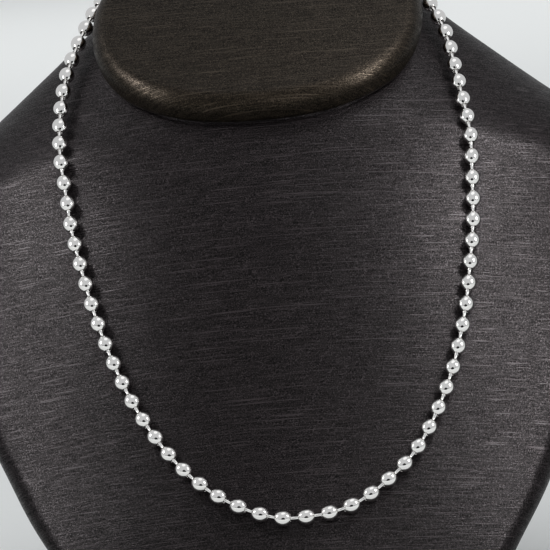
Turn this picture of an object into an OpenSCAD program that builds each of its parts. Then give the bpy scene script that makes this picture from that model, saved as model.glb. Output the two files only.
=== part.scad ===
// A ball chain necklace on the plain neck bust that displays it.
// The bust stands on its foot at z = 0 and faces -Y; +X is on the right of someone facing it.

/* [Bust] */
// Width across the shoulders, at the widest section
bust_w = 207; // [185:1:230]
// Width of the foot
foot_w = 105; // [90:1:120]
// Width of the neck at its top
neck_w = 90.6; // [82:0.2:100]
// Depth of the foot, front to back
foot_depth = 113; // [95:1:130]
// Depth of the body at the shoulders, front to back
shoulder_depth = 75.8; // [68:0.2:84]
// Depth of the neck along its sloping top
neck_depth = 75; // [68:0.5:84]
// Height of the front of the neck's top edge
front_h = 134.6; // [120:0.2:150]
// How far the neck's top edge stands behind the front of the foot
lean_run = 69.4; // [55:0.2:85]
// Slope of the neck's top, in degrees from level
neck_slope = 37; // [30:0.5:44]

/* [Neck pad] */
// How far the pad stands out past the neck's sides
pad_side = 2.2; // [1:0.1:4]
// How far the pad stands out past the neck's front and back
pad_end = 2; // [1:0.1:4]
// Thickness of the pad, whose edge is a full round
pad_th = 9; // [7:0.5:12]
// Gap between the pad and the neck's top
pad_gap = 0.2; // [0.1:0.05:0.5]
// Roundness of the pad's outline: 2 is an ellipse, more is squarer
pad_power = 2.3; // [2:0.1:3]

/* [Chain] */
// Diameter of a bead at its middle
bead_d = 4.4; // [3.6:0.1:4.8]
// Length of a bead along the chain
bead_len = 4.5; // [3.9:0.1:4.9]
// Diameter of a bead's ends
bead_end_d = 1.92; // [1.8:0.02:2.4]
// Wall of a bead, which is rolled from sheet
bead_wall = 0.4; // [0.2:0.05:0.45]
// Diameter of the hole in each end of a bead
hole_d = 1.56; // [1.46:0.02:1.6]
// Distance from bead to bead, rounded so that a whole number fits the loop
bead_pitch = 6.35; // [5.8:0.05:7]
// Diameter of a link's wire
link_d = 0.92; // [0.8:0.02:1]
// Diameter of the head on each end of a link
head_d = 1.8; // [1.7:0.05:1.9]
// Gap between the two heads inside one bead
head_gap = 0.3; // [0.15:0.05:0.5]
// Gap between the beads and the bust they lie on
bead_gap = 0.25; // [0.15:0.05:0.5]

/* [Clasp] */
// Diameter of the plain barrel clasp at the nape
clasp_d = 4; // [3.6:0.1:4.4]
// Wall of the clasp
clasp_wall = 0.5; // [0.3:0.05:0.7]

/* [Hidden] */

// Sections of the bust, from the foot to the top of the neck, as shares of the named sizes:
// HEIGHT of front_h, BACK of lean_run, TILT of neck_slope,
// WIDTH from the shoulders' width (0) to the foot's below or the neck's above (1),
// DEPTH from the shoulders' depth (0) to the foot's below or the neck's above (1), level,
// BOW of the front, FRONT_R and BACK_R of the upright edges, all three of the half width.
HEIGHT = 0;
BACK = 1;
TILT = 2;
WIDTH = 3;
DEPTH = 4;
BOW = 5;
FRONT_R = 6;
BACK_R = 7;
SECTIONS = [
    // height back    tilt   width  depth  bow    front_r back_r
    [0,      0,      0,     1,     1,     0.145, 0.114, 0.267],
    [0.111,  0.101,  0,     0.814, 0.864, 0.17,  0.097, 0.226],
    [0.219,  0.203,  0,     0.627, 0.720, 0.20,  0.084, 0.196],
    [0.334,  0.317,  0,     0.471, 0.556, 0.22,  0.075, 0.176],
    [0.483,  0.458,  0,     0.265, 0.355, 0.24,  0.078, 0.156],
    [0.632,  0.597,  0,     0.088, 0.156, 0.26,  0.081, 0.141],
    [0.743,  0.706,  0.054, 0,     0,     0.27,  0.097, 0.155],
    [0.810,  0.778,  0.135, 0.009, 0.239, 0.27,  0.126, 0.194],
    [0.860,  0.836,  0.284, 0.129, 0.415, 0.25,  0.177, 0.271],
    [0.903,  0.886,  0.486, 0.369, 0.572, 0.22,  0.244, 0.366],
    [0.936,  0.927,  0.703, 0.601, 0.704, 0.20,  0.321, 0.467],
    [0.958,  0.955,  0.865, 0.790, 0.811, 0.19,  0.435, 0.557],
    [0.9755, 0.9755, 0.959, 0.919, 0.893, 0.18,  0.56,  0.62],
    [0.988,  0.9885, 1,     0.979, 0.950, 0.18,  0.667, 0.667],
    [1,      1,      1,     1,     1,     0.18,  0.684, 0.684],
];
// The row of the widest section, where the shoulders' sizes take over from the foot's
widest = 6;
top_row = len(SECTIONS) - 1;
// How much the middle of the back stands out, as a share of the half width
back_bow = 0.06;
// The least flat side between the front and back edges, which flatten where they have no room
least_side = 1;
// Half of an outline is five stretches: front, front edge, side, back edge and back,
// each divided into this many faces
STRETCH_FACES = [8, 5, 2, 5, 4];
stretches = len(STRETCH_FACES);
faces_per_row = 3;
pad_sides = 56;
pad_edge_faces = 8;

// Where the chain runs on the bust, from the link at the bottom round by +X, the nape and -X:
// ALONG counts the stretches of the outline from the front's middle, minus on the -X side,
// ROW is the section it crosses there, LIFT is how far it stands clear, in bead diameters,
// where it bridges the hollow of the neck.
ALONG = 0;
ROW = 1;
LIFT = 2;
ROUTE = [
    [0.03,  1.90,  0],
    [0.26,  2.02,  0],
    [0.43,  2.52,  0],
    [0.52,  3.05,  0],
    [0.575, 3.78,  0],
    [0.59,  4.56,  0],
    [0.592, 5.35,  0],
    [0.605, 6.15,  0],
    [0.68,  7.60,  0],
    [0.96,  9.12,  0.05],
    [1.43,  10.32, 0.1],
    [1.72,  11.12, 0.35],
    [1.96,  11.75, 0.57],
    [3.05,  12.60, 0.45],
    [3.35,  12.95, 0.27],
    [3.65,  13.20, 0.08],
    [3.95,  13.30, 0.06],
    [4.40,  13.30, 0],
    [5.00,  13.30, 0],
    [-4.40, 13.30, 0],
    [-3.95, 13.30, 0.06],
    [-3.65, 13.35, 0.08],
    [-3.35, 13.20, 0.3],
    [-3.10, 12.70, 0.5],
    [-2.00, 11.70, 0.57],
    [-1.81, 11.22, 0.55],
    [-1.53, 10.50, 0.3],
    [-1.10, 9.52,  0.03],
    [-0.72, 8.08,  0],
    [-0.597, 6.70, 0],
    [-0.562, 5.72, 0],
    [-0.545, 5.02, 0],
    [-0.525, 4.34, 0],
    [-0.485, 3.66, 0],
    [-0.40, 2.98,  0],
    [-0.275, 2.40, 0],
    [-0.115, 2.02, 0],
];
// The entry of ROUTE at the middle of the nape
nape = 18;
steps_per_leg = 14;

// Facets of the round pieces
round_fn = 36;

// Helpers: a mix of two values, a point on a smooth curve through b and c, a step along a vector
function mix(a, b, share) = a + (b - a) * share;
function curve(a, b, c, d, t) =
    b + t / 2 * ((c - a) + t * ((2 * a - 5 * b + 4 * c - d) + t * (3 * b - a - 3 * c + d)));
function unit(v) = v / norm(v);

// One section in millimetres: front y, front z, tilt, half width, depth, bow, front radius, back radius
function section_size(i) =
    let (
        row = SECTIONS[i],
        below = i <= widest,
        tilt = neck_slope * row[TILT],
        half = mix(bust_w, below ? foot_w : neck_w, row[WIDTH]) / 2,
        end_depth = below ? foot_depth : neck_depth * cos(neck_slope),
        depth = mix(shoulder_depth, end_depth, row[DEPTH]) / cos(tilt)
    )
    [lean_run * row[BACK], front_h * row[HEIGHT], tilt, half, depth,
        row[BOW], row[FRONT_R] * half, row[BACK_R] * half];
SIZES = [for (i = [0:top_row]) section_size(i)];

// A section between the rows
function section_at(s) =
    let (
        i = max(0, min(top_row - 1, floor(s))),
        first = i > 0 ? SIZES[i - 1] : 2 * SIZES[0] - SIZES[1],
        last = i + 2 <= top_row ? SIZES[i + 2] : 2 * SIZES[top_row] - SIZES[top_row - 1]
    )
    curve(first, SIZES[i], SIZES[i + 1], last, s - i);

// Half outline of a section: across x and behind its front v, for a place a from 0 to 5
function outline(w, depth, bow, front_r, back_r, a) =
    let (
        stretch = min(stretches - 1, floor(a)),
        f = a - stretch,
        bulge = back_bow * w,
        room = depth - bulge - bow * w - least_side,
        fit = min(1, room / (front_r + back_r)),
        side_start = bow * w + front_r * fit,
        side_end = depth - bulge - back_r * fit,
        x = stretch == 0 ? (w - front_r) * f
            : stretch == 1 ? w - front_r + front_r * sin(90 * f)
            : stretch == 2 ? w
            : stretch == 3 ? w - back_r + back_r * cos(90 * f)
            : (w - back_r) * (1 - f),
        v = stretch == 0 ? bow * x * x / w
            : stretch == 1 ? bow * x * x / w + front_r * fit * (1 - cos(90 * f))
            : stretch == 2 ? mix(side_start, side_end, f)
            : stretch == 3 ? depth - bulge * x * x / w / w - back_r * fit * (1 - sin(90 * f))
            : depth - bulge * x * x / w / w
    )
    [x, v];

// A point on the bust's surface, at row s and place a, minus on the -X side
function raw_skin(s, a) =
    let (
        q = section_at(s),
        o = outline(q[3], q[4], q[5], q[6], q[7], abs(a))
    )
    [a < 0 ? -o[0] : o[0], q[0] + o[1] * cos(q[2]), q[1] + o[1] * sin(q[2])];

// The middle of the whole depth, from the foot's front to the clasp's back, is put at y = 0
mid_y = (raw_skin(ROUTE[nape][ROW], ROUTE[nape][ALONG])[1] + bead_gap + bead_d / 2 + clasp_d / 2) / 2;
function skin(s, a) = raw_skin(s, a) - [0, mid_y, 0];

// A point at a distance out from the surface
probe = 0.004;
function above(s, a, out) =
    let (
        side = a < 0 ? -1 : 1,
        near = max(abs(a) - probe, 0),
        far = min(abs(a) + probe, stretches),
        up = skin(min(s + probe, top_row), a) - skin(s - probe, a),
        round = skin(s, side * far) - skin(s, side * near)
    )
    skin(s, a) + out * side * unit(cross(round, up));

// Places along half an outline, and round the whole of it
HALF_PLACES = [for (k = [0:stretches - 1]) for (j = [0:STRETCH_FACES[k] - 1]) k + j / STRETCH_FACES[k]];
half_n = len(HALF_PLACES);
RING_PLACES = concat(HALF_PLACES, [stretches], [for (j = [1:half_n - 1]) -HALF_PLACES[half_n - j]]);

// A closed solid lofted through rings of equally many points, with flat ends
module loft(rings) {
    n = len(rings[0]);
    m = len(rings);
    points = [for (ring = rings) for (p = ring) p];
    walls = [for (i = [0:m - 2]) for (j = [0:n - 1])
        let (k = (j + 1) % n)
        each [[i * n + j, (i + 1) * n + j, (i + 1) * n + k], [i * n + j, (i + 1) * n + k, i * n + k]]];
    ends = [[for (j = [0:n - 1]) j], [for (j = [n - 1:-1:0]) (m - 1) * n + j]];
    polyhedron(points, concat(ends, walls), convexity = 6);
}

// The covered body: foot, chest, shoulders and neck in one form
module bust_body() {
    color([0.16, 0.145, 0.14])
        loft([for (i = [0:top_row * faces_per_row])
            [for (a = RING_PLACES) skin(i / faces_per_row, a)]]);
}

// The pad that caps the neck's sloping top
top_size = SIZES[top_row];
top_front = skin(top_row, 0);
pad_half_w = neck_w / 2 + pad_side;
pad_half_l = neck_depth / 2 + pad_end;
pad_edge = pad_th / 2;

// A power that keeps its sign, and one ring of the pad's round edge at an angle from level
function signed_pow(value, power) = sign(value) * pow(abs(value), power);
function pad_ring(edge_angle) =
    [for (i = [0:pad_sides - 1])
        let (
            c = cos(360 * i / pad_sides),
            s = sin(360 * i / pad_sides),
            a = pad_half_w - pad_edge,
            b = pad_half_l - pad_edge,
            out = unit([signed_pow(c, 2 - 2 / pad_power) / a, signed_pow(s, 2 - 2 / pad_power) / b])
        )
        [signed_pow(c, 2 / pad_power) * a + out[0] * pad_edge * cos(edge_angle),
            signed_pow(s, 2 / pad_power) * b + out[1] * pad_edge * cos(edge_angle),
            pad_edge * sin(edge_angle)]];

module neck_pad() {
    color([0.19, 0.175, 0.165])
        translate(top_front)
            rotate([neck_slope, 0, 0])
                translate([0, neck_depth / 2, pad_edge + pad_gap])
                    loft([for (j = [0:pad_edge_faces]) pad_ring(-90 + 180 * j / pad_edge_faces)]);
}

// The loop that the beads' middles follow, and how long it is
WAYPOINTS = [for (r = ROUTE) above(r[ROW], r[ALONG], bead_d * (0.5 + r[LIFT]) + bead_gap)];
legs = len(WAYPOINTS);
LOOP = [for (i = [0:legs - 1]) for (j = [0:steps_per_leg - 1])
    curve(WAYPOINTS[(i + legs - 1) % legs], WAYPOINTS[i], WAYPOINTS[(i + 1) % legs],
        WAYPOINTS[(i + 2) % legs], j / steps_per_leg)];
loop_n = len(LOOP);
function loop_step(i) = norm(LOOP[(i + 1) % loop_n] - LOOP[i % loop_n]);
TRAVEL = [for (i = 0, d = 0; i <= loop_n; d = d + loop_step(i), i = i + 1) d];
loop_length = TRAVEL[loop_n];
function track(axis) = [for (i = [0:loop_n]) [TRAVEL[i], LOOP[i % loop_n][axis]]];
TRACKS = [for (axis = [0:2]) track(axis)];
function loop_point(d) = [for (axis = [0:2]) lookup(d, TRACKS[axis])];

// An even number of places for beads, so that the clasp takes the two at the nape
places = 2 * round(loop_length / bead_pitch / 2);
spacing = loop_length / places;
CENTRES = [for (i = [0:places - 1]) loop_point((i + 0.5) * spacing)];
clasp_a = places / 2 - 1;
clasp_b = places / 2;
clasp_axis = unit(CENTRES[clasp_b] - CENTRES[clasp_a]);
function is_clasp(i) = i == clasp_a || i == clasp_b;
function bead_axis(i) =
    is_clasp(i) ? clasp_axis
    : unit(CENTRES[(i + 1) % places] - CENTRES[(i + places - 1) % places]);

// Turns the z axis to a direction
module aim(direction) {
    rotate([0, acos(direction[2]), atan2(direction[1], direction[0])])
        children();
}

// A hollow bead: a barrel whose side is an arc from end to end, drilled at both ends
barrel_rise = (bead_d - bead_end_d) / 2;
barrel_r = (pow(bead_len / 2, 2) + pow(barrel_rise, 2)) / (2 * barrel_rise);
module bead() {
    rotate_extrude($fn = round_fn)
        difference() {
            intersection() {
                translate([bead_d / 2 - barrel_r, 0])
                    circle(r = barrel_r, $fn = 2 * round_fn);
                translate([hole_d / 2, -bead_len / 2])
                    square([bead_d, bead_len]);
            }
            intersection() {
                translate([bead_d / 2 - barrel_r, 0])
                    circle(r = barrel_r - bead_wall, $fn = 2 * round_fn);
                translate([0, bead_wall - bead_len / 2])
                    square([bead_d, bead_len - 2 * bead_wall]);
            }
        }
}

module chain_beads() {
    color([0.85, 0.85, 0.83])
        for (i = [0:places - 1])
            if (!is_clasp(i))
                translate(CENTRES[i])
                    aim(bead_axis(i))
                        bead();
}

// A dumbbell link: a wire with a round head on each end, held inside two beads
head_place = (head_d + head_gap) / 2;
module link(from, to) {
    reach = norm(to - from);
    translate(from)
        aim(unit(to - from))
            rotate_extrude($fn = round_fn)
                intersection() {
                    union() {
                        square([link_d / 2, reach]);
                        circle(d = head_d, $fn = round_fn);
                        translate([0, reach])
                            circle(d = head_d, $fn = round_fn);
                    }
                    translate([0, -head_d])
                        square([head_d, reach + 2 * head_d]);
                }
}

module chain_links() {
    color([0.8, 0.8, 0.78])
        for (i = [0:places - 1])
            if (i != clasp_a)
                let (next = (i + 1) % places)
                link(CENTRES[i] + head_place * bead_axis(i), CENTRES[next] - head_place * bead_axis(next));
}

// A plain hollow barrel that takes the last link at each end
clasp_len = norm(CENTRES[clasp_b] - CENTRES[clasp_a]) + bead_len;
module clasp() {
    color([0.85, 0.85, 0.83])
        translate((CENTRES[clasp_a] + CENTRES[clasp_b]) / 2)
            aim(clasp_axis)
                rotate_extrude($fn = round_fn)
                    difference() {
                        translate([hole_d / 2, -clasp_len / 2])
                            square([(clasp_d - hole_d) / 2, clasp_len]);
                        translate([0, clasp_wall - clasp_len / 2])
                            square([clasp_d / 2 - clasp_wall, clasp_len - 2 * clasp_wall]);
                    }
}

bust_body();
neck_pad();
chain_beads();
chain_links();
clasp();
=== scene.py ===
"""The looks of a ball chain necklace on its neck bust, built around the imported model."""
import math

import bmesh
import bpy
import numpy as np
from mathutils import Matrix, Vector


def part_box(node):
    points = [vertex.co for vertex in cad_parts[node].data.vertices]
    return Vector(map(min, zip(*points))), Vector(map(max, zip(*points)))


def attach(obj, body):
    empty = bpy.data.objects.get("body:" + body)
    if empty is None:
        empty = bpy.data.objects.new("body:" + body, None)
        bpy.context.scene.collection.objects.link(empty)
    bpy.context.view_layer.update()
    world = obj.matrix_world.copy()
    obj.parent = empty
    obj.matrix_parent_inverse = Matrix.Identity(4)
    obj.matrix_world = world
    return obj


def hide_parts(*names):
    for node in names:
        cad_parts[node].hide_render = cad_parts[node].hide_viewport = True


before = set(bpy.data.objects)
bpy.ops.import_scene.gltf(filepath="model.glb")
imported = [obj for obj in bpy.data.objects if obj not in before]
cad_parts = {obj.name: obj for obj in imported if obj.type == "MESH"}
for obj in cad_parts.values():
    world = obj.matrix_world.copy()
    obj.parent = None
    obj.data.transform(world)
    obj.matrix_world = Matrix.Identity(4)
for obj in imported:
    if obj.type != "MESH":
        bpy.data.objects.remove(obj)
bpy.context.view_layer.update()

MM = 0.001
BODY = "root"
# Points of a mesh nearer to each other than this, in metres, are one point
WELD = 1e-7

# The bust's named sizes, in millimetres, as in the part's source
BUST_W, FOOT_W, NECK_W = 207, 105, 90.6
FOOT_DEPTH, SHOULDER_DEPTH, NECK_DEPTH = 113, 75.8, 75
FRONT_H, LEAN_RUN, NECK_SLOPE = 134.6, 69.4, 37
# Its sections as shares of those sizes: height, back, tilt, width, depth, bow, front_r, back_r. Width and
# depth run from the shoulders' (0) to the foot's up to the widest section, or to the neck's above it (1)
SECTIONS = np.array([
    [0, 0, 0, 1, 1, 0.145, 0.114, 0.267],
    [0.111, 0.101, 0, 0.814, 0.864, 0.17, 0.097, 0.226],
    [0.219, 0.203, 0, 0.627, 0.720, 0.20, 0.084, 0.196],
    [0.334, 0.317, 0, 0.471, 0.556, 0.22, 0.075, 0.176],
    [0.483, 0.458, 0, 0.265, 0.355, 0.24, 0.078, 0.156],
    [0.632, 0.597, 0, 0.088, 0.156, 0.26, 0.081, 0.141],
    [0.743, 0.706, 0.054, 0, 0, 0.27, 0.097, 0.155],
    [0.810, 0.778, 0.135, 0.009, 0.239, 0.27, 0.126, 0.194],
    [0.860, 0.836, 0.284, 0.129, 0.415, 0.25, 0.177, 0.271],
    [0.903, 0.886, 0.486, 0.369, 0.572, 0.22, 0.244, 0.366],
    [0.936, 0.927, 0.703, 0.601, 0.704, 0.20, 0.321, 0.467],
    [0.958, 0.955, 0.865, 0.790, 0.811, 0.19, 0.435, 0.557],
    [0.9755, 0.9755, 0.959, 0.919, 0.893, 0.18, 0.56, 0.62],
    [0.988, 0.9885, 1, 0.979, 0.950, 0.18, 0.667, 0.667],
    [1, 1, 1, 1, 1, 0.18, 0.684, 0.684],
])
# The widest section's row and the last one
WIDEST, TOP_ROW = 6, len(SECTIONS) - 1
# The back's bow as a share of half the width, and the least flat side between the edges, in millimetres
BACK_BOW, LEAST_SIDE = 0.06, 1
# Rings between two sections, and faces along the front, the side and the back of half an outline
RINGS_PER_ROW = 11
FRONT_FACES, SIDE_FACES, BACK_FACES = 26, 48, 16
# Points on each of the side's three stretches, from which its faces are spaced evenly
SIDE_SAMPLES = 40
# Radii of the foot's and the top's edge, in millimetres, and the faces round each
FOOT_ROUND, TOP_ROUND, ROUND_STEPS = 1.6, 0.4, 5
# How far in to the middle the foot's inner rings lie, as shares
FOOT_RINGS_IN = (0.6, 0.25, 0.05)
# The body's own rings stop this far below the top's edge, in millimetres
TOP_CLEARANCE = 0.2

# The neck pad, in millimetres: its reach past the neck's sides and ends, its thickness, and its gap over
# the neck
PAD_SIDE, PAD_END, PAD_TH, PAD_GAP = 2.2, 2, 9, 0.2
# Its outline is a superellipse of this power, where 2 is an ellipse
PAD_POWER = 2.3
# The radii of its upper edge, of its lower edge, and of its lower edge at the front
PAD_TOP_R, PAD_LOW_R, PAD_FRONT_R = 4.5, 4.5, 2.3
# The lower edge begins to tighten this far forward, and is tightest this much further on, as shares of the
# radius of the circle that the outline is drawn from
PAD_FRONT_START, PAD_FRONT_BLEND = 0.2, 0.4
# A narrow upright band keeps the rings of the two edges apart
PAD_BAND = 0.02
# The crown's height, and the power that levels it out towards the rim
PAD_CROWN, PAD_CROWN_POWER = 1.2, 1.5
# Faces round the pad and round each edge, rings on its top, and the sizes of the rings under it as shares
PAD_SIDES, PAD_ARC_FACES, PAD_TOP_RINGS = 144, 11, 14
PAD_UNDER_RINGS = (0.25, 0.6, 0.9)

# The chain, in millimetres
BEAD_D, BEAD_LEN, BEAD_END_D, BEAD_WALL, HOLE_D = 4.4, 4.5, 1.92, 0.4, 1.56
LINK_D, HEAD_D = 0.92, 1.8
CLASP_D, CLASP_WALL, CLASP_EDGE = 4, 0.5, 0.5
# The clasp's middle line: half its width at the skin and at its floor, and its depth
LINE_HALF, LINE_FLOOR, LINE_DEPTH = 0.14, 0.06, 0.1
# The bead's outer arc stops this many lip widths short of its end
LIP_FOLD = 0.8
# The lip from that arc in to the hole: how far out from the hole and how far up to the bead's end, as shares
LIP_SHAPE = ((0.72, 0.72), (0.38, 1.0), (0.1, 0.93), (0, 0.7))
# The link's head is an arc up to this angle, in degrees, and closes on the axis
HEAD_TOP = 84
# Faces round each turned piece, and faces along its arcs
BEAD_SIDES, LINK_SIDES, CLASP_SIDES = 36, 16, 64
BEAD_FACES, BEAD_INNER_FACES, HEAD_FACES, CLASP_EDGE_FACES = 16, 4, 8, 6


# Helpers

def curve(a, b, c, d, t):
    """A point on the smooth curve that runs from b to c."""
    return b + t / 2 * ((c - a) + t * ((2 * a - 5 * b + 4 * c - d) + t * (3 * b - a - 3 * c + d)))


def make_object(name, data):
    """An object in the scene for a mesh, a camera or a light."""
    made = bpy.data.objects.new(name, data)
    bpy.context.scene.collection.objects.link(made)
    return made


def make_mesh(name, points, faces):
    """A smooth closed mesh from points in millimetres, its double points joined and its faces outwards."""
    mesh = bpy.data.meshes.new(name)
    mesh.from_pydata((np.array(points) * MM).tolist(), [], faces)
    shape = bmesh.new()
    shape.from_mesh(mesh)
    bmesh.ops.remove_doubles(shape, verts=shape.verts, dist=WELD)
    bmesh.ops.recalc_face_normals(shape, faces=shape.faces)
    shape.to_mesh(mesh)
    shape.free()
    mesh.shade_smooth()
    return mesh


def ring_mesh(name, rings):
    """A closed mesh of quads through rings of equally many points, with a pole at each end."""
    count, last = len(rings[0]), (len(rings) - 1) * len(rings[0])
    faces = []
    for i in range(len(rings) - 1):
        for j in range(count):
            k = (j + 1) % count
            faces.append((i * count + j, i * count + k, (i + 1) * count + k, (i + 1) * count + j))
    for j in range(count):
        k = (j + 1) % count
        faces.append((last + count, k, j))
        faces.append((last + count + 1, last + j, last + k))
    return make_mesh(name, np.concatenate(rings + [[rings[0].mean(0)], [rings[-1].mean(0)]]), faces)


def lathe_mesh(name, profile, around):
    """A mesh turned round z from a profile of (radius, height), closed or with both ends on the axis."""
    count = len(profile)
    points, faces = [], []
    for i in range(around):
        turn = 2 * math.pi * i / around
        points += [(r * math.cos(turn), r * math.sin(turn), z) for r, z in profile]
        for j in range(count):
            k, n = (j + 1) % count, (i + 1) % around
            if profile[j][0] > 0 or profile[k][0] > 0:
                faces.append((i * count + j, n * count + j, n * count + k, i * count + k))
    return make_mesh(name, points, faces)


# The bust's form

def section_sizes():
    """Each section in millimetres: back, height, tilt in degrees, half width, depth, bow, front_r, back_r."""
    sizes = []
    for i, (height, back, tilt, width, depth, bow, front_r, back_r) in enumerate(SECTIONS):
        below = i <= WIDEST
        slope = NECK_SLOPE * tilt
        half = (BUST_W + ((FOOT_W if below else NECK_W) - BUST_W) * width) / 2
        end_depth = FOOT_DEPTH if below else NECK_DEPTH * math.cos(math.radians(NECK_SLOPE))
        level_depth = SHOULDER_DEPTH + (end_depth - SHOULDER_DEPTH) * depth
        sizes.append([
            LEAN_RUN * back, FRONT_H * height, slope, half,
            level_depth / math.cos(math.radians(slope)), bow, front_r * half, back_r * half,
        ])
    return np.array(sizes)


SIZES = section_sizes()
FRONT_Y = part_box("bust_body")[0].y / MM


def section_at(s):
    """The section at a place between the rows, on a smooth curve through them."""
    i = int(max(0, min(TOP_ROW - 1, math.floor(s))))
    first = SIZES[i - 1] if i > 0 else 2 * SIZES[0] - SIZES[1]
    last = SIZES[i + 2] if i + 2 <= TOP_ROW else 2 * SIZES[TOP_ROW] - SIZES[TOP_ROW - 1]
    return curve(first, SIZES[i], SIZES[i + 1], last, s - i)


def outline(w, depth, bow, front_r, back_r, place):
    """Half an outline, from the front's middle (0) to the back's (5): x, and how far behind the front."""
    stretch = min(4, int(place))
    f = place - stretch
    bulge = BACK_BOW * w
    fit = min(1, (depth - bulge - bow * w - LEAST_SIDE) / (front_r + back_r))
    side_start = bow * w + front_r * fit
    side_end = depth - bulge - back_r * fit
    turn = math.pi / 2 * f
    if stretch == 0:
        x = (w - front_r) * f
        return x, bow * x * x / w
    if stretch == 1:
        x = w - front_r + front_r * math.sin(turn)
        return x, bow * x * x / w + front_r * fit * (1 - math.cos(turn))
    if stretch == 2:
        return w, side_start + (side_end - side_start) * f
    if stretch == 3:
        x = w - back_r + back_r * math.cos(turn)
        return x, depth - bulge * x * x / w / w - back_r * fit * (1 - math.sin(turn))
    x = (w - back_r) * (1 - f)
    return x, depth - bulge * x * x / w / w


def body_ring(s):
    """One ring of the bust's surface, from the front's middle round by +X, evenly spaced along its side."""
    back, height, tilt, w, depth, bow, front_r, back_r = section_at(s)

    def stretch_points(places):
        return [outline(w, depth, bow, front_r, back_r, place) for place in places]

    front = stretch_points(np.linspace(0, 1, FRONT_FACES + 1))
    side = []
    for stretch in (1, 2, 3):
        side += stretch_points(np.linspace(stretch, stretch + 1, SIDE_SAMPLES, endpoint=False))
    side = np.array(side + stretch_points([4]))
    passed = np.append(0, np.cumsum(np.linalg.norm(np.diff(side, axis=0), axis=1)))
    even = np.linspace(0, passed[-1], SIDE_FACES + 1)[1:]
    side = [(np.interp(d, passed, side[:, 0]), np.interp(d, passed, side[:, 1])) for d in even]
    rear = stretch_points(np.linspace(4, 5, BACK_FACES + 1)[1:])
    half = front + side + rear
    around = half + [(-x, v) for x, v in half[-2:0:-1]]
    rise, run = math.sin(math.radians(tilt)), math.cos(math.radians(tilt))
    return np.array([[x, FRONT_Y + back + v * run, height + v * rise] for x, v in around])


def rounded_end(ring, outward, radius, steps):
    """The rings of a rounded edge, from the side wall to the rim of the flat end, which faces outward."""
    middle = ring.mean(0)
    out = ring - middle
    out -= np.outer(out @ outward, outward)
    out /= np.linalg.norm(out, axis=1)[:, None]
    made = []
    for i in range(steps + 1):
        turn = math.pi / 2 * i / steps
        made.append(ring - out * radius * (1 - math.cos(turn)) - outward * radius * (1 - math.sin(turn)))
    return made


def bust_body():
    """The covered form: foot, chest, shoulders and neck in one skin with rounded foot and top edges."""
    rings = [body_ring(i / RINGS_PER_ROW) for i in range(TOP_ROW * RINGS_PER_ROW + 1)]
    rise = math.radians(NECK_SLOPE)
    foot = rounded_end(rings[0], np.array([0, 0, -1.0]), FOOT_ROUND, ROUND_STEPS)[::-1]
    top = rounded_end(rings[-1], np.array([0, -math.sin(rise), math.cos(rise)]), TOP_ROUND, ROUND_STEPS)
    inner = [foot[0] + (foot[0].mean(0) - foot[0]) * share for share in FOOT_RINGS_IN]
    between = [r for r in rings if r[:, 2].min() > FOOT_ROUND
               and (r[:, 2] - top[0][:, 2]).max() < -TOP_CLEARANCE]
    return make_object("bust_body_skin", ring_mesh("bust_body_skin", inner + foot + between + top))


# The pad

def pad_ring(radius, angle, level):
    """A ring of the pad's edge: radius is the edge's own, one value or one for each point of the ring."""
    turns = np.linspace(0, 2 * math.pi, PAD_SIDES, endpoint=False)
    wave = np.stack([np.cos(turns), np.sin(turns)], 1)
    radius = np.broadcast_to(radius, PAD_SIDES)[:, None]
    half = np.array([NECK_W / 2 + PAD_SIDE, NECK_DEPTH / 2 + PAD_END]) - radius
    core = np.sign(wave) * np.abs(wave) ** (2 / PAD_POWER) * half
    out = np.sign(wave) * np.abs(wave) ** (2 - 2 / PAD_POWER) / half
    out /= np.linalg.norm(out, axis=1)[:, None]
    reach, rise = radius * math.cos(angle), radius * math.sin(angle)
    return np.column_stack([core + out * reach, level + rise])


def neck_pad():
    """The neck's firm padded cap: a round edge, tucked in tighter below at the front, and a low crown."""
    turns = np.linspace(0, 2 * math.pi, PAD_SIDES, endpoint=False)
    front = np.clip((-np.sin(turns) - PAD_FRONT_START) / PAD_FRONT_BLEND, 0, 1)
    low_r = PAD_LOW_R + (PAD_FRONT_R - PAD_LOW_R) * front
    under = pad_ring(low_r, -math.pi / 2, low_r[:, None])
    middle = under.mean(0)
    rings = [middle + (under - middle) * share for share in PAD_UNDER_RINGS]
    for j in range(PAD_ARC_FACES + 1):
        rings.append(pad_ring(low_r, math.pi / 2 * (j / PAD_ARC_FACES - 1), low_r[:, None]))
    top_level = np.full((PAD_SIDES, 1), PAD_TH - PAD_TOP_R + PAD_BAND)
    for j in range(PAD_ARC_FACES + 1):
        rings.append(pad_ring(PAD_TOP_R, math.pi / 2 * j / PAD_ARC_FACES, top_level))
    rim = rings[-1]
    middle = rim.mean(0)
    for j in range(1, PAD_TOP_RINGS):
        share = 1 - j / PAD_TOP_RINGS
        crown = PAD_CROWN * (1 - share ** 2) ** PAD_CROWN_POWER
        rings.append(middle + (rim - middle) * share + [0, 0, crown])
    slope = math.radians(NECK_SLOPE)
    run, rise = math.cos(slope), math.sin(slope)
    turn = np.array([[1, 0, 0], [0, run, -rise], [0, rise, run]])
    foot = np.array([0, FRONT_Y + LEAN_RUN, FRONT_H])
    placed = [(r + [0, NECK_DEPTH / 2, PAD_GAP]) @ turn.T + foot for r in rings]
    return make_object("neck_pad_skin", ring_mesh("neck_pad_skin", placed))


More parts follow.
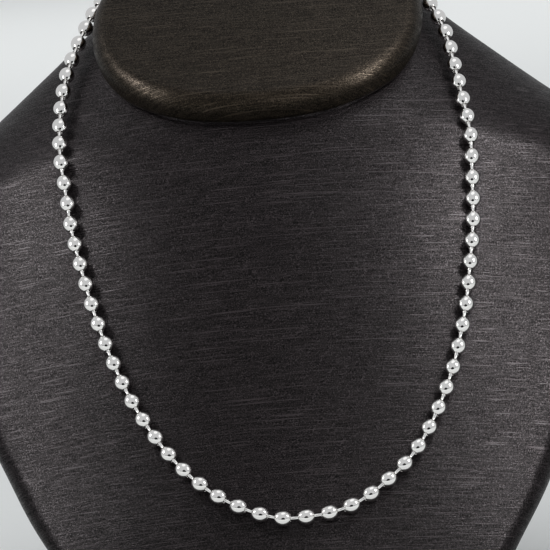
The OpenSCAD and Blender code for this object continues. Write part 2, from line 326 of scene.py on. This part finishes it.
# Places of the beads, the links and the clasp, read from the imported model

def islands(node):
    """The points of each loose solid of a CAD node, in millimetres, in the order of the node's mesh."""
    mesh = bmesh.new()
    mesh.from_mesh(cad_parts[node].data)
    bmesh.ops.remove_doubles(mesh, verts=mesh.verts, dist=WELD)
    reached, found = set(), []
    for start in mesh.verts:
        if start in reached:
            continue
        reached.add(start)
        queue, part = [start], []
        while queue:
            vert = queue.pop()
            part.append(vert.co[:])
            for edge in vert.link_edges:
                other = edge.other_vert(vert)
                if other not in reached:
                    reached.add(other)
                    queue.append(other)
        found.append(np.array(part) / MM)
    mesh.free()
    return found


def turned_solid(points):
    """The middle, the long axis and the length of a turned solid."""
    centre = points.mean(0)
    axis = np.linalg.svd(points - centre, full_matrices=False)[2][0]
    reach = (points - centre) @ axis
    return centre + axis * (reach.min() + reach.max()) / 2, axis, reach.max() - reach.min()


LINK_MIDDLES, LINK_AXES, LINK_LENGTHS = zip(*[turned_solid(points) for points in islands("chain_links")])
CLASP_MIDDLE, CLASP_AXIS, CLASP_LENGTH = turned_solid(islands("clasp")[0])
BEAD_MIDDLES = [points.mean(0) for points in islands("chain_beads")]


def bead_axes():
    """Each bead lies along the line between the middles of its two links."""
    ends = np.array(LINK_MIDDLES)
    axes = []
    for middle in BEAD_MIDDLES:
        near = np.argsort(np.linalg.norm(ends - middle, axis=1))[:2]
        axis = ends[near[0]] - ends[near[1]]
        axes.append(axis / np.linalg.norm(axis))
    return axes


# Profiles of the turned pieces: lists of (radius, height) in millimetres. The bead's and the clasp's are
# closed loops round their walls, and the link's ends on the axis

def arc(centre_r, centre_z, radius, start, end, steps):
    """Points on an arc, angles in degrees from the radius' direction."""
    turns = np.radians(np.linspace(start, end, steps + 1))
    return [(centre_r + radius * math.cos(t), centre_z + radius * math.sin(t)) for t in turns]


def bead_profile():
    """A barrel rolled from sheet: an arc outside, a small lip at each hole, and the wall's inside."""
    rise = (BEAD_D - BEAD_END_D) / 2
    radius = ((BEAD_LEN / 2) ** 2 + rise ** 2) / (2 * rise)
    centre = BEAD_D / 2 - radius
    lip = (BEAD_END_D - HOLE_D) / 2
    half = math.degrees(math.asin((BEAD_LEN / 2 - lip * LIP_FOLD) / radius))
    outside = arc(centre, 0, radius, -half, half, BEAD_FACES)
    end_r, end_z = outside[-1]
    fold = BEAD_LEN / 2 - end_z
    over = [(HOLE_D / 2 + (end_r - HOLE_D / 2) * out, end_z + fold * up) for out, up in LIP_SHAPE]
    inner = math.degrees(math.asin((BEAD_LEN / 2 - BEAD_WALL) / (radius - BEAD_WALL)))
    inside = arc(centre, 0, radius - BEAD_WALL, inner, -inner, BEAD_INNER_FACES)
    under = [(HOLE_D / 2, BEAD_LEN / 2 - BEAD_WALL)]
    return outside + over + under + inside + [(r, -z) for r, z in under + over[::-1]]


def link_profile(length):
    """A dumbbell: a wire with a ball head at each end, walked up one side of the axis."""
    wire, head, tip = LINK_D / 2, HEAD_D / 2, length / 2
    neck = math.degrees(math.asin(wire / head))
    top = arc(0, tip - head, head, neck - 90, HEAD_TOP, HEAD_FACES)
    bottom = [(r, -z) for r, z in top[::-1]]
    return [(0, -tip)] + bottom + top + [(0, tip)]


def clasp_profile(length):
    """A plain barrel in two halves that screw together: rounded ends and a fine line at the middle."""
    r, half, hole = CLASP_D / 2, length / 2, HOLE_D / 2
    floor_r, inner_r, inner_half = r - LINE_DEPTH, r - CLASP_WALL, half - CLASP_WALL
    line = [(r, -LINE_HALF), (floor_r, -LINE_FLOOR), (floor_r, LINE_FLOOR), (r, LINE_HALF)]
    edge = arc(r - CLASP_EDGE, half - CLASP_EDGE, CLASP_EDGE, 0, 90, CLASP_EDGE_FACES)
    top = edge + [(hole, half), (hole, inner_half)]
    bottom = [(a, -b) for a, b in top[::-1]]
    return line + top + [(inner_r, inner_half), (inner_r, -inner_half)] + bottom


# Chain pieces by geometry nodes: one shape on every point, turned along the chain

def add(tree, kind, inputs=None, **settings):
    """Adds a node with its settings; an input that is a socket is linked, any other is set."""
    made = tree.nodes.new(kind)
    for name, value in settings.items():
        setattr(made, name, value)
    for name, value in (inputs or {}).items():
        socket = made.inputs[name]
        if isinstance(value, bpy.types.NodeSocket):
            tree.links.new(value, socket)
        else:
            socket.default_value = value
    return made


def stringing_tree(name):
    """Sets one turned shape on each point, along the point's direction, at a random turn round it."""
    tree = bpy.data.node_groups.new(name, "GeometryNodeTree")
    for label, kind in (("Geometry", "Geometry"), ("Shape", "Object"), ("Size", "Float"),
                        ("Turn seed", "Int"), ("Finish", "Material")):
        tree.interface.new_socket(label, in_out="INPUT", socket_type="NodeSocket" + kind)
    tree.interface.new_socket("Geometry", in_out="OUTPUT", socket_type="NodeSocketGeometry")
    given = add(tree, "NodeGroupInput").outputs
    shape = add(tree, "GeometryNodeObjectInfo", {"Object": given["Shape"]}).outputs["Geometry"]
    along = add(tree, "GeometryNodeInputNamedAttribute", {"Name": "along"}, data_type="FLOAT_VECTOR")
    facing = add(tree, "FunctionNodeAlignRotationToVector", {"Vector": along.outputs["Attribute"]}, axis="Z")
    spin = add(tree, "FunctionNodeRandomValue",
               {"Min": 0.0, "Max": 2 * math.pi, "Seed": given["Turn seed"]}, data_type="FLOAT")
    spin_value = next(output for output in spin.outputs if output.enabled)
    about = add(tree, "ShaderNodeCombineXYZ", {"Z": spin_value})
    spun = add(tree, "FunctionNodeRotateRotation",
               {"Rotation": facing.outputs[0], "Rotate By": about.outputs[0]}, rotation_space="LOCAL")
    copies = add(tree, "GeometryNodeInstanceOnPoints",
                 {"Points": given["Geometry"], "Instance": shape, "Rotation": spun.outputs[0],
                  "Scale": given["Size"]})
    real = add(tree, "GeometryNodeRealizeInstances", {"Geometry": copies.outputs[0]})
    dressed = add(tree, "GeometryNodeSetMaterial", {"Geometry": real.outputs[0], "Material": given["Finish"]})
    add(tree, "NodeGroupOutput", {"Geometry": dressed.outputs[0]})
    return tree


def strung(name, shape_mesh, middles, axes, finish, seed):
    """One piece made of a shape on every middle, as a plain mesh at the origin."""
    shape = make_object(name + "_shape", shape_mesh)
    cloud = bpy.data.meshes.new(name)
    cloud.from_pydata([tuple(m * MM) for m in middles], [], [])
    cloud.attributes.new("along", "FLOAT_VECTOR", "POINT").data.foreach_set("vector", np.array(axes).ravel())
    points = make_object(name + "_points", cloud)
    tree = stringing_tree(name + "_stringing")
    modifier = points.modifiers.new("stringing", "NODES")
    modifier.node_group = tree
    values = {"Shape": shape, "Size": 1.0, "Turn seed": seed, "Finish": finish}
    for item in tree.interface.items_tree:
        if item.in_out == "INPUT" and item.name in values:
            modifier[item.identifier] = values[item.name]
    bpy.context.view_layer.update()
    view = bpy.context.evaluated_depsgraph_get()
    mesh = bpy.data.meshes.new_from_object(points.evaluated_get(view), depsgraph=view)
    mesh.name = name
    points.modifiers.clear()
    bpy.data.objects.remove(points)
    bpy.data.objects.remove(shape)
    return make_object(name, mesh)


# Materials

def linear(hex_colour):
    """An sRGB hex colour as linear RGBA."""
    parts = [int(hex_colour[i:i + 2], 16) / 255 for i in (1, 3, 5)]
    return [c / 12.92 if c <= 0.04045 else ((c + 0.055) / 1.055) ** 2.4 for c in parts] + [1.0]


def new_material(name):
    """An empty material and its node tree."""
    made = bpy.data.materials.new(name)
    made.use_nodes = True
    made.node_tree.nodes.clear()
    return made, made.node_tree


def brushed_leatherette(name, lean, line_mm, relief_mm, dark, light, tint, rough, gloss):
    """Polyurethane leatherette, black, with fine lines brushed in across the bust.

    It gives a soft dark gloss, spread up and down by the lines, with thin light streaks and specks. The
    lines and specks of the real cover are finer than the render can show, so they are drawn as coarse as it
    needs. Lean is how far the pattern tilts back, in degrees."""
    made, tree = new_material(name)
    place = add(tree, "ShaderNodeTexCoord").outputs["Object"]
    tilt = (math.radians(lean), 0, 0)
    across = add(tree, "ShaderNodeMapping", {"Vector": place, "Rotation": tilt}).outputs[0]

    def noise(scale, detail, low, high, shift=0.0):
        """A noise as a share from 0 at low to 1 at high; scale is its spots to the metre along x, y and z."""
        spot = add(tree, "ShaderNodeMapping",
                   {"Vector": across, "Scale": scale, "Location": (shift, shift, shift)})
        spots = add(tree, "ShaderNodeTexNoise", {"Vector": spot.outputs[0], "Scale": 1.0, "Detail": detail})
        return add(tree, "ShaderNodeMapRange",
                   {"Value": spots.outputs["Fac"], "From Min": low, "From Max": high}).outputs[0]

    # The lines are 5 mm long and the streaks 22 mm, both as fine as line_mm up and down. The grain is as fine
    # all round, and the specks are a quarter longer than they are high
    fine = 1 / (line_mm * MM)
    lines = noise((200, 220, fine), 1.0, 0.42, 0.65)
    streaks = noise((45, 300, fine), 1.0, 0.63, 0.73, 7.0)
    grain = noise((fine, fine, fine), 1.0, 0.42, 0.65, 3.0)
    specks = noise((0.8 * fine, fine, fine), 0.0, 0.6, 0.74, 11.0)
    tone = 0.0
    for layer, share in ((lines, 0.2), (grain, 0.4), (specks, 0.7), (streaks, 0.8)):
        tone = add(tree, "ShaderNodeMath", {0: layer, 1: share, 2: tone}, operation="MULTIPLY_ADD").outputs[0]
    tone = add(tree, "ShaderNodeClamp", {"Value": tone}).outputs[0]

    # The Mix node's colour sockets share their names with others, so they are taken by number
    first_colour, second_colour, mixed_colour = 6, 7, 2
    shade = add(tree, "ShaderNodeMix",
                {"Factor": tone, first_colour: linear(dark), second_colour: linear(light)}, data_type="RGBA")
    # A light spot is smoother than the ground by twice the first, the second is the ground's share of the
    # gloss, and the third is the grain's relief, where the lines' is 1
    rough_spread, dull_gloss, grain_relief = 0.06, 0.15, 0.7
    rougher = add(tree, "ShaderNodeMapRange",
                  {"Value": tone, "To Min": rough + rough_spread, "To Max": rough - rough_spread}).outputs[0]
    level = add(tree, "ShaderNodeMapRange",
                {"Value": tone, "To Min": dull_gloss * gloss, "To Max": gloss}).outputs[0]
    relief = add(tree, "ShaderNodeMath",
                 {0: grain, 1: grain_relief, 2: lines}, operation="MULTIPLY_ADD").outputs[0]
    bump = add(tree, "ShaderNodeBump", {"Height": relief, "Strength": 1.0, "Distance": relief_mm * MM})
    facing = add(tree, "ShaderNodeNewGeometry").outputs["Normal"]
    fall = add(tree, "ShaderNodeVectorMath", {0: facing, 1: (1, 0, 0)}, operation="CROSS_PRODUCT").outputs[0]
    skin = add(tree, "ShaderNodeBsdfPrincipled", {
        "Base Color": shade.outputs[mixed_colour], "Roughness": rougher, "Normal": bump.outputs[0],
        "Tangent": fall, "IOR": 1.5, "Specular IOR Level": level, "Specular Tint": linear(tint),
        "Anisotropic": 0.5})
    add(tree, "ShaderNodeOutputMaterial", {"Surface": skin.outputs[0]})
    return made


def polished_metal(name, colour, rough):
    """White-plated brass, polished: a bright mirror with the faint waviness of rolled sheet."""
    made, tree = new_material(name)
    place = add(tree, "ShaderNodeTexCoord").outputs["Object"]
    # The waves are about 2 mm long and 0.01 mm deep, and the wear's spots about 0.6 mm across. The scales are
    # in spots to the metre
    wave_scale, wave_mm, wear_scale, wear_spread = 450.0, 0.01, 1800.0, 0.04
    wave = add(tree, "ShaderNodeTexNoise", {"Vector": place, "Scale": wave_scale, "Detail": 2.0})
    wear = add(tree, "ShaderNodeTexNoise", {"Vector": place, "Scale": wear_scale, "Detail": 4.0})
    rougher = add(tree, "ShaderNodeMapRange",
                  {"Value": wear.outputs["Fac"], "From Min": 0.35, "From Max": 0.75, "To Min": rough,
                   "To Max": rough + wear_spread}).outputs[0]
    bump = add(tree, "ShaderNodeBump",
               {"Height": wave.outputs["Fac"], "Strength": 0.4, "Distance": wave_mm * MM})
    metal = add(tree, "ShaderNodeBsdfPrincipled", {
        "Base Color": linear(colour), "Metallic": 1.0, "Roughness": rougher, "Normal": bump.outputs[0]})
    add(tree, "ShaderNodeOutputMaterial", {"Surface": metal.outputs[0]})
    return made


def plain_material(name, colour, rough):
    """One colour and one roughness, for the studio."""
    made, tree = new_material(name)
    surface = add(tree, "ShaderNodeBsdfPrincipled", {"Base Color": linear(colour), "Roughness": rough})
    add(tree, "ShaderNodeOutputMaterial", {"Surface": surface.outputs[0]})
    return made


# The camera: a long lens a little to the right of the bust and a little above it, rolled by 5 degrees

EYE = Vector((58.7, -1342.6, 208.3)) * MM
AIM = Vector((2.2, -48.8, 95)) * MM
ROLL = math.radians(5)
LENS, SENSOR = 312.9, 36

ahead = (AIM - EYE).normalized()
side = ahead.cross(Vector((0, 0, 1))).normalized()
upward = side.cross(ahead)
upward = upward * math.cos(ROLL) + side * math.sin(ROLL)
side = ahead.cross(upward)
lens = bpy.data.cameras.new("camera")
lens.lens, lens.sensor_width = LENS, SENSOR
lens.clip_start, lens.clip_end = 0.01, 100
camera = make_object("camera", lens)
camera.matrix_world = Matrix.Translation(EYE) @ Matrix((side, upward, -ahead)).transposed().to_4x4()
bpy.context.scene.camera = camera

# The pieces

bust_cover = brushed_leatherette(
    "bust_pu_leatherette", lean=28, line_mm=0.3, relief_mm=0.02, dark="#020202", light="#161213",
    tint="#fff5f8", rough=0.35, gloss=0.3)
pad_cover = brushed_leatherette(
    "pad_pu_leatherette", lean=33, line_mm=0.3, relief_mm=0.015, dark="#020202", light="#16120d",
    tint="#ffe8cf", rough=0.35, gloss=0.38)
bead_metal = polished_metal("beads_polished_plate", "#f0eeec", 0.02)
link_metal = polished_metal("links_polished_plate", "#f2f0ee", 0.1)
clasp_metal = polished_metal("clasp_polished_plate", "#f0eeec", 0.08)

body = bust_body()
body.data.materials.append(bust_cover)
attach(body, BODY)
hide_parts("bust_body")

pad = neck_pad()
pad.data.materials.append(pad_cover)
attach(pad, BODY)
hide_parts("neck_pad")

bead = lathe_mesh("bead", bead_profile(), BEAD_SIDES)
beads = strung("chain_beads_polished", bead, BEAD_MIDDLES, bead_axes(), bead_metal, seed=3)
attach(beads, BODY)
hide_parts("chain_beads")

barrel = lathe_mesh("clasp", clasp_profile(CLASP_LENGTH), CLASP_SIDES)
clasp = strung("clasp_polished", barrel, [CLASP_MIDDLE], [CLASP_AXIS], clasp_metal, seed=1)
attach(clasp, BODY)
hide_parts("clasp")

link = lathe_mesh("link", link_profile(float(np.mean(LINK_LENGTHS))), LINK_SIDES)
links = strung("chain_links_polished", link, LINK_MIDDLES, LINK_AXES, link_metal, seed=5)
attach(links, BODY)
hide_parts("chain_links")


# The studio: a pale floor and an even pale sky, softboxes of their own for the covers and for the metal, one
# large softbox overhead for everything, and two panels that light the floor alone. Its sizes are in metres,
# but the ball's radius is in millimetres

FLOOR_HALF, FLOOR_Z = 9, -0.0002
# The ball's faces round it and along its arc, and the arc's end, in degrees
BALL_SIDES, BALL_FACES, BALL_TOP = 32, 16, 80
SKY = (0.60, 0.61, 0.62, 1)
CHEST = Vector((0, -30, 95)) * MM


def flat_strip(half_width, height):
    """An upright strip on the floor."""
    mesh = bpy.data.meshes.new("strip")
    corners = [(-half_width, 0, 0), (half_width, 0, 0), (half_width, 0, height), (-half_width, 0, height)]
    mesh.from_pydata(corners, [], [(0, 1, 2, 3)])
    return mesh


def ball_mesh(radius):
    """A ball, its radius in millimetres."""
    side = [(r * radius, z * radius) for r, z in arc(0, 0, 1, -BALL_TOP, BALL_TOP, BALL_FACES)]
    return lathe_mesh("ball", [(0, -radius)] + side + [(0, radius)], BALL_SIDES)


def only_reflected(name, mesh, place):
    """A dark shape before the bust that shows in reflections alone, like the dark room past a light tent."""
    made = make_object(name, mesh)
    made.location = place
    mesh.materials.append(plain_material(name + "_black", "#050505", 0.9))
    made.visible_camera = made.visible_diffuse = made.visible_shadow = False


def group(name, members):
    """A collection of the objects that a light is kept to."""
    made = bpy.data.collections.new(name)
    for member in members:
        made.objects.link(member)
    return made


def panel(name, shape, width, depth, power, place, lit):
    """A light that the camera doesn't see, in watts, which lights one collection, or everything for None."""
    light = bpy.data.lights.new(name, "AREA")
    light.shape = shape
    light.size, light.size_y, light.energy = width, depth, power
    made = make_object(name, light)
    made.location = place
    made.visible_camera = False
    made.light_linking.receiver_collection = lit
    return made


def softbox(name, turn, rise, distance, width, height, power, lit):
    """A soft oval panel that faces the chest, turned round it from the front and raised, in degrees."""
    turn, rise = math.radians(turn), math.radians(rise)
    away = Vector((math.cos(rise) * math.sin(turn), -math.cos(rise) * math.cos(turn), math.sin(rise)))
    made = panel(name, "ELLIPSE", width, height, power, CHEST + away * distance, lit)
    made.rotation_mode = "QUATERNION"
    made.rotation_quaternion = away.to_track_quat("Z", "Y")


def floor_light(name, y, z, width, depth, power):
    """A panel that lights the floor alone from above and is seen in no reflection."""
    made = panel(name, "RECTANGLE", width, depth, power, (0, y, z), ground)
    made.visible_glossy = False


floor_mesh = bpy.data.meshes.new("floor")
floor_corners = [(x * FLOOR_HALF, y * FLOOR_HALF, FLOOR_Z) for x, y in ((-1, -1), (1, -1), (1, 1), (-1, 1))]
floor_mesh.from_pydata(floor_corners, [], [(0, 1, 2, 3)])
floor = make_object("floor", floor_mesh)
floor.data.materials.append(plain_material("floor_paper", "#eff1f0", 0.8))

only_reflected("dark_strip", flat_strip(0.7, 0.045), (0, -0.6, 0))
only_reflected("dark_ball", ball_mesh(150), (0.03, -0.43, 0.01))

world = bpy.data.worlds.new("sky")
bpy.context.scene.world = world
world.use_nodes = True
world.node_tree.nodes["Background"].inputs["Color"].default_value = SKY
world.node_tree.nodes["Background"].inputs["Strength"].default_value = 1.0

covers = group("leatherette_covers", [body, pad])
metals = group("metal_pieces", [beads, links, clasp])
ground = group("ground", [floor])

# Each softbox's name, turn, rise, distance, width, height, power, and what it lights
softbox("cover_right_low", 60, 20, 0.26, 0.06, 0.07, 0.42, covers)
softbox("cover_right_high", 60, 46, 0.26, 0.06, 0.07, 0.5, covers)
softbox("cover_right_top", 78, 68, 0.26, 0.1, 0.14, 0.15, covers)
softbox("cover_left_low", -66, 16, 0.26, 0.06, 0.07, 0.22, covers)
softbox("cover_left_high", -74, 45, 0.26, 0.06, 0.08, 0.32, covers)
softbox("cover_left_far", -74, 45, 0.5, 0.2, 0.4, 0.9, covers)
softbox("cover_front", 10, 5, 0.26, 0.1, 0.14, 0.16, covers)
softbox("metal_left", -76, 15, 0.19, 0.07, 0.09, 0.045, metals)
softbox("metal_right", 72, 16, 0.2, 0.07, 0.09, 0.06, metals)
softbox("top", 60, 80, 0.6, 0.55, 0.4, 0.27, None)
# Each floor light's name, y, z, width, depth and power
floor_light("floor_far", 4.5, 2, 6, 4, 36)
floor_light("floor_near", -0.4, 0.5, 0.8, 0.4, 1.7)

bpy.context.scene.view_settings.view_transform = "Standard"
